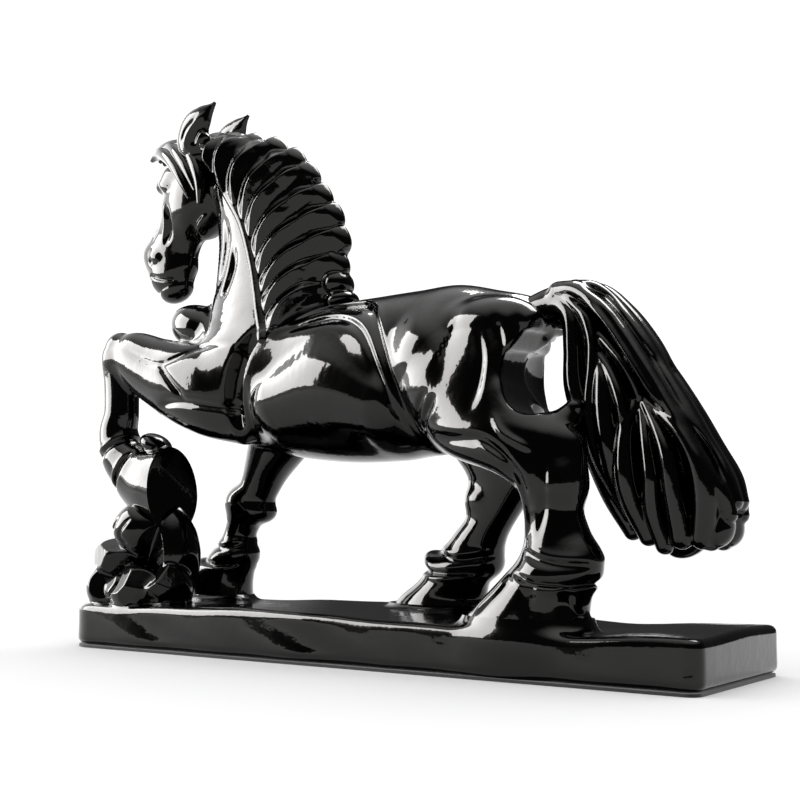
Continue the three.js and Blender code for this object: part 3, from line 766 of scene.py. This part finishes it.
casting("trunk_cast", "trunk", (-132, -46, 74), (112, 46, 172), 0.88, sculpt_body,
        [(LEG_LINE, UP), (NECK_AT, away(NECK_WAY)), (KNEE_AT, away(KNEE_WAY))])
casting("neck_cast", "neck", (-108, -32, 156), (-30, 32, 250), 0.6, sculpt_body,
        [(NECK_AT, NECK_WAY), (POLL_AT, away(POLL_WAY))], near=(-72, 0, 190))
casting("head_cast", "head", (-152, -22, 163), (-84, 22, 246), 0.42, sculpt_body,
        [(POLL_AT, POLL_WAY)], near=(-115, 0, 210))
casting("hindleg_left_cast", "hindleg_left", (50, -46, 16), (118, -4, 86), 0.5, sculpt_body,
        STANDING_LEG, near=(92, -25, 60))
casting("hindleg_right_cast", "hindleg_right", (-20, 4, 16), (74, 46, 86), 0.5, sculpt_body,
        STANDING_LEG, near=(38, 23, 60))
casting("foreleg_right_cast", "foreleg_right", (-142, 2, 16), (-60, 46, 86), 0.5, sculpt_body,
        STANDING_LEG, near=(-100, 22, 60))
casting("foreleg_left_cast", "foreleg_left_raised", (-160, -42, 48), (-96, 0, 158), 0.5,
        sculpt_body, [(KNEE_AT, KNEE_WAY), (SOLE_AT, SOLE_WAY)], near=(-145, -20, 120))
casting("mane_cast", "mane", (-112, -34, 128), (-14, 34, 252), 0.58, sculpt_mane)
casting("ear_left_cast", "ear_left", (-124, -20, 224), (-90, -4, 260), 0.35, sculpt_ears)
casting("ear_right_cast", "ear_right", (-124, 4, 224), (-90, 20, 260), 0.35, sculpt_ears)
casting("tail_cast", "tail", (60, -26, 34), (162, 26, 160), 0.64, sculpt_tail)
casting("rock_support_cast", "rock_support", (-154, -44, 14), (-96, 4, 68), 0.5, sculpt_rocks,
        [(FOOT_LINE, UP)])
casting("base_cast", "base_casting", (-159, -46, -1), (159, 46, 34), 1.1, sculpt_base,
        [(FOOT_LINE, DOWN)])

for name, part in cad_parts.items():
    if name.startswith(("base_screw", "base_washer")):
        finish_in(part, steel)
    if name.endswith(("_pin", "_sleeve")):
        finish_in(part, brass)
finish_in(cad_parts["base_felt"], felt)


# ---------------------------------------------------------------- the forelock
# The strands of its right side, in mm: x, y, z and radius.
FORELOCK = [
    [(-145, 2, 239, 1.2), (-140, 3, 241, 3), (-130, 5, 241, 4.5), (-118, 6, 240, 4.5),
     (-104, 6, 240, 3)],
    [(-144, 4, 238, 1.2), (-138, 6, 239.5, 2.6), (-131, 9, 238, 3.2), (-122, 12, 232, 3.2),
     (-114, 13.5, 222, 2.6), (-109, 13, 212, 1.2)],
    [(-136, 5, 241, 1.5), (-127, 8, 240.5, 3), (-118, 12, 235, 3.2), (-110, 14, 226, 2.8),
     (-104, 14.5, 215, 1.2)],
    [(-122, 8, 241, 1.5), (-113, 11, 237, 3), (-105, 14, 227, 3), (-101, 15, 218, 2.4),
     (-101, 15, 208, 1.0)],
]


def hair_tree():
    """A node tree that sweeps strands of hair along drawn lines."""
    tree = bpy.data.node_groups.new("swept_hair", "GeometryNodeTree")
    face = tree.interface
    face.new_socket("Lines", in_out="INPUT", socket_type="NodeSocketGeometry")
    face.new_socket("Sides", in_out="INPUT", socket_type="NodeSocketInt").default_value = 14
    face.new_socket("Finish", in_out="INPUT", socket_type="NodeSocketMaterial")
    face.new_socket("Hair", in_out="OUTPUT", socket_type="NodeSocketGeometry")
    start = node(tree, "NodeGroupInput")
    end = node(tree, "NodeGroupOutput")
    curve = node(tree, "GeometryNodeMeshToCurve")
    thick = node(tree, "GeometryNodeInputNamedAttribute", data_type="FLOAT")
    thick.inputs["Name"].default_value = "thick"
    ring = node(tree, "GeometryNodeCurvePrimitiveCircle")
    sweep = node(tree, "GeometryNodeCurveToMesh", Fill_Caps=True)
    smooth = node(tree, "GeometryNodeSetShadeSmooth")
    real = node(tree, "GeometryNodeRealizeInstances")
    finish = node(tree, "GeometryNodeSetMaterial")
    link = tree.links.new
    ring.inputs["Radius"].default_value = 1.0
    link(start.outputs["Lines"], curve.inputs["Mesh"])
    link(start.outputs["Sides"], ring.inputs["Resolution"])
    link(curve.outputs["Curve"], sweep.inputs["Curve"])
    link(ring.outputs["Curve"], sweep.inputs["Profile Curve"])
    link(thick.outputs["Attribute"], sweep.inputs["Scale"])
    link(sweep.outputs["Mesh"], smooth.inputs[0])
    link(smooth.outputs[0], real.inputs["Geometry"])
    link(real.outputs["Geometry"], finish.inputs["Geometry"])
    link(start.outputs["Finish"], finish.inputs["Material"])
    link(finish.outputs["Geometry"], end.inputs["Hair"])
    return tree


def swept_hair(name, strands, sides):
    """Lays strands of hair along their lines, on both sides, as one plain mesh."""
    thinnest = 0.4
    points, edges, thick = [], [], []
    for way in (-1, 1):
        for strand in strands:
            rows = spline(strand, 6)
            edges += [(len(points) + k, len(points) + k + 1) for k in range(len(rows) - 1)]
            points += [(x * MM, way * y * MM, z * MM) for x, y, z, _ in rows]
            thick += [max(radius, thinnest) * MM for radius in rows[:, 3]]
    lines = bpy.data.meshes.new(name + "_lines")
    lines.from_pydata(points, edges, [])
    lines.attributes.new("thick", "FLOAT", "POINT").data.foreach_set("value", thick)
    drawn = bpy.data.objects.new(name + "_lines", lines)
    bpy.context.collection.objects.link(drawn)
    sweep = drawn.modifiers.new("sweep", "NODES")
    sweep.node_group = hair_tree()
    wanted = {"Sides": sides, "Finish": bronze}
    for socket in sweep.node_group.interface.items_tree:
        if socket.name in wanted:
            sweep[socket.identifier] = wanted[socket.name]
    made = drawn.evaluated_get(bpy.context.evaluated_depsgraph_get())
    mesh = bpy.data.meshes.new_from_object(made)
    bpy.data.objects.remove(drawn)
    piece = bpy.data.objects.new(name, mesh)
    bpy.context.collection.objects.link(piece)
    return piece


show(swept_hair("forelock_cast", FORELOCK, sides=16), "forelock")

# ---------------------------------------------------------------- the studio
floor_mesh = bpy.data.meshes.new("studio_floor")
reach = 30.0  # m, so that the paper runs to the horizon
floor_mesh.from_pydata(
    [(-reach, -reach, 0), (reach, -reach, 0), (reach, reach, 0), (-reach, reach, 0)], [],
    [(0, 1, 2, 3)],
)
floor = bpy.data.objects.new("studio_floor", floor_mesh)
bpy.context.collection.objects.link(floor)
paper = bpy.data.materials.new("matt_white_paper")
paper.use_nodes = True
paper.node_tree.nodes["Principled BSDF"].inputs["Base Color"].default_value = colour("#f4f4f4")
paper.node_tree.nodes["Principled BSDF"].inputs["Roughness"].default_value = 0.9
floor_mesh.materials.append(paper)


def softbox(name, at, aim, wide, high, power):
    """A rectangular studio light, pointed at a spot."""
    lamp = bpy.data.lights.new(name, "AREA")
    lamp.shape = "RECTANGLE"
    lamp.size = wide
    lamp.size_y = high
    lamp.energy = power
    made = bpy.data.objects.new(name, lamp)
    made.location = at
    made.rotation_euler = (Vector(aim) - Vector(at)).to_track_quat("-Z", "Y").to_euler()
    made.visible_diffuse = False  # it draws the highlights and leaves the paper to the daylight
    bpy.context.collection.objects.link(made)


softbox("key_softbox", (-0.95, -0.64, 0.58), (-0.03, 0, 0.12), 0.85, 0.95, 42)
softbox("top_softbox", (0.1, 0.55, 1.1), (0, 0, 0.1), 0.9, 0.4, 14)

world = bpy.data.worlds.new("studio")
bpy.context.scene.world = world
world.use_nodes = True
sky = world.node_tree
sky.nodes.clear()
# The paper round the set is white; the room that the polished metal mirrors is dark, but for a
# pale wall past the head and a pale ceiling.
white = node(sky, "ShaderNodeBackground", Color=(1, 1, 1, 1), Strength=1.15)
room = node(sky, "ShaderNodeBackground", Color=(1, 1, 1, 1))
way = node(sky, "ShaderNodeTexCoord")
parts = node(sky, "ShaderNodeSeparateXYZ")
wall = node(sky, "ShaderNodeMapRange", interpolation_type="SMOOTHSTEP")
ceiling = node(sky, "ShaderNodeMapRange", interpolation_type="SMOOTHSTEP")
both = node(sky, "ShaderNodeMath", operation="ADD")
# Each ramp runs from one height or side of the sky to another, and from one brightness to another.
for ramp, values in ((wall, (-0.6, -0.95, 0.04, 3.0)), (ceiling, (0.55, 1.0, 0.0, 1.6))):
    for socket, value in zip(ramp.inputs[1:5], values):
        socket.default_value = value
sky.links.new(way.outputs["Generated"], parts.inputs["Vector"])
sky.links.new(parts.outputs["X"], wall.inputs["Value"])
sky.links.new(parts.outputs["Z"], ceiling.inputs["Value"])
sky.links.new(wall.outputs["Result"], both.inputs[0])
sky.links.new(ceiling.outputs["Result"], both.inputs[1])
sky.links.new(both.outputs["Value"], room.inputs["Strength"])
ray = node(sky, "ShaderNodeLightPath")
chooser = node(sky, "ShaderNodeMixShader")
out = node(sky, "ShaderNodeOutputWorld")
sky.links.new(ray.outputs["Is Glossy Ray"], chooser.inputs["Fac"])
sky.links.new(white.outputs["Background"], chooser.inputs[1])
sky.links.new(room.outputs["Background"], chooser.inputs[2])
sky.links.new(chooser.outputs["Shader"], out.inputs["Surface"])

# The viewer stands behind the left haunch and a little above the base.
view = bpy.data.cameras.new("view")
view.sensor_width = 36
view.lens = 58.77
camera = bpy.data.objects.new("view", view)
camera.matrix_world = (
    Matrix.Translation((0.3223, -0.4608, 0.0567))
    @ Matrix.Rotation(math.radians(34.55), 4, "Z")
    @ Matrix.Rotation(math.radians(95.48), 4, "X")
    @ Matrix.Rotation(math.radians(0.33), 4, "Z")
)
bpy.context.collection.objects.link(camera)
bpy.context.scene.camera = camera
bpy.context.scene.view_settings.view_transform = "Standard"
